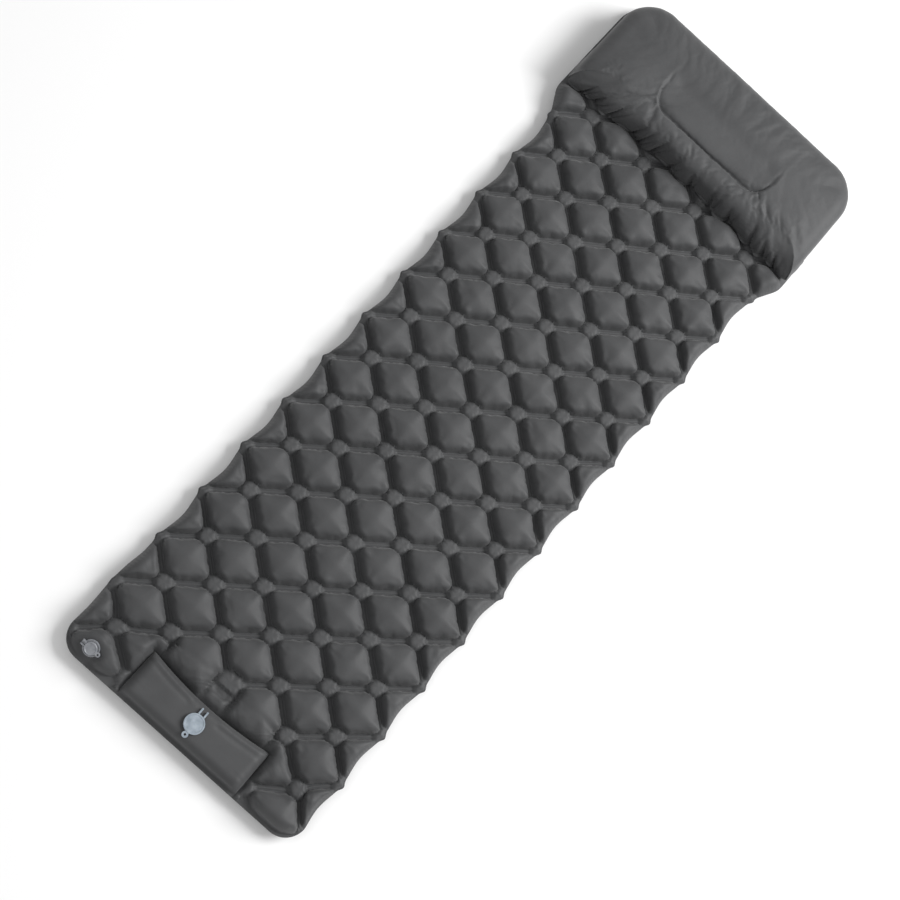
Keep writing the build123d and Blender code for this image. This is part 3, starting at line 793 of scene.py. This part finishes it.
for name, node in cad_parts.items():
    if name.startswith("pump_valve"):
        paint(node, VALVE)
    elif name.startswith("main_valve"):
        paint(node, VALVE_GREY)
    if name.endswith("diaphragm"):
        paint(node, SILICONE)
    if name in ("pump_check_sleeve", "pillow_tie_web"):
        paint(node, FILM)

bending_strap(
    "pump_valve_strap", "pump_top",
)
bending_strap(
    "main_valve_insert_strap", "pad",
)
bending_strap(
    "main_valve_cap_strap", "main_insert",
)


# ---- foam ------------------------------------------------------------------------------------
def foam_material():
    """Open-cell foam: pale walls, with painted shade darkening its pores."""
    mat, tree, bsdf = node_material("open_cell_foam")
    where = add_node(tree, "ShaderNodeTexCoord")
    pore_shade = add_node(tree, "ShaderNodeTexVoronoi", Scale=600.0)
    tree.links.new(where.outputs["Object"], pore_shade.inputs["Vector"])
    # painted shade: dark where the pores' hollows are, pale on the foam's walls
    ramp = colour_ramp(tree, (0.10, 0.10, 0.09), (0.50, 0.50, 0.46))
    tree.links.new(pore_shade.outputs["Distance"], ramp.inputs["Fac"])
    tree.links.new(ramp.outputs["Color"], bsdf.inputs["Base Color"])
    bsdf.inputs["Roughness"].default_value = 0.95
    return mat


FOAM_SHARE = (0.90, 0.68, 0.90)     # of its CAD block: room for the cover's turned edge
foam_low, foam_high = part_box("pump_foam")
foam = bpy.data.objects.new("pump_foam_block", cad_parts["pump_foam"].data.copy())
bpy.context.scene.collection.objects.link(foam)
foam_middle = (np.array(foam_low) + np.array(foam_high)) / 2
set_coords(foam, foam_middle + (coords(foam) - foam_middle) * FOAM_SHARE)
paint(foam, foam_material())
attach(foam, "pad")
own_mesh(foam)
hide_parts("pump_foam")


# ---- floor, light and camera -----------------------------------------------------------------
def floor_material():
    """Plain pale studio floor, very slightly uneven in tone."""
    mat, tree, bsdf = node_material("pale_floor")
    noise = add_node(tree, "ShaderNodeTexNoise", Scale=3.0, Detail=4.0)
    ramp = colour_ramp(tree, (0.86, 0.86, 0.86), (0.90, 0.90, 0.90))
    tree.links.new(noise.outputs["Fac"], ramp.inputs["Fac"])
    tree.links.new(ramp.outputs["Color"], bsdf.inputs["Base Color"])
    bsdf.inputs["Roughness"].default_value = 0.9
    return mat


FLOOR_REACH = 8             # metres from its middle to its edges
FLOOR_BELOW = 0.0005        # the pad's lowest point
WORLD_WHITE = 0.46
corners = [(-1, -1), (1, -1), (1, 1), (-1, 1)]
floor_points = [(x * FLOOR_REACH, y * FLOOR_REACH, 0) for x, y in corners]
floor = new_object("floor", floor_points, [(0, 1, 2, 3)], False)
paint(floor, floor_material())
floor.location.z = -FLOOR_BELOW

world = bpy.data.worlds.new("studio")
bpy.context.scene.world = world
world.use_nodes = True
background = world.node_tree.nodes["Background"]
background.inputs["Color"].default_value = (1, 1, 1, 1)
background.inputs["Strength"].default_value = WORLD_WHITE


def area_light(name, at, towards, size, power):
    data = bpy.data.lights.new(name, "AREA")
    data.energy, data.size, data.shape = power, size, "SQUARE"
    lamp = bpy.data.objects.new(name, data)
    bpy.context.scene.collection.objects.link(lamp)
    lamp.location = at
    lamp.rotation_euler = (Vector(towards) - Vector(at)).to_track_quat("-Z", "Y").to_euler()


area_light("key", at=(3.3, 2.6, 3.7), towards=(0, 0, 0), size=3.0, power=380)
area_light("fill", at=(-1.5, -2.5, 4.0), towards=(0, 0, 0), size=4.0, power=45)

# the viewing angle: distance, elevation, turn and roll about the middle of the pad
AIM = Vector((0.020, 0.708 + ROW_0, 0.038))
ELEVATION, TURN, ROLL = (math.radians(v) for v in (70.0, 6.8, 48.7))
DISTANCE = 4.063
LENS, SENSOR = 81.28, 36.0      # millimetres
back = Vector((
    -math.cos(ELEVATION) * math.sin(TURN),
    -math.cos(ELEVATION) * math.cos(TURN),
    math.sin(ELEVATION),
))
right = (-back).cross(Vector((0, 0, 1))).normalized()
up = right.cross(-back)
cam_right = right * math.cos(ROLL) + up * math.sin(ROLL)
cam_up = up * math.cos(ROLL) - right * math.sin(ROLL)
camera = bpy.data.objects.new("camera", bpy.data.cameras.new("camera"))
bpy.context.scene.collection.objects.link(camera)
turn = Matrix((cam_right, cam_up, back)).transposed().to_4x4()
camera.matrix_world = Matrix.Translation(AIM + back * DISTANCE) @ turn
camera.data.lens = LENS
camera.data.sensor_width = SENSOR
bpy.context.scene.camera = camera
bpy.context.scene.view_settings.view_transform = "Standard"
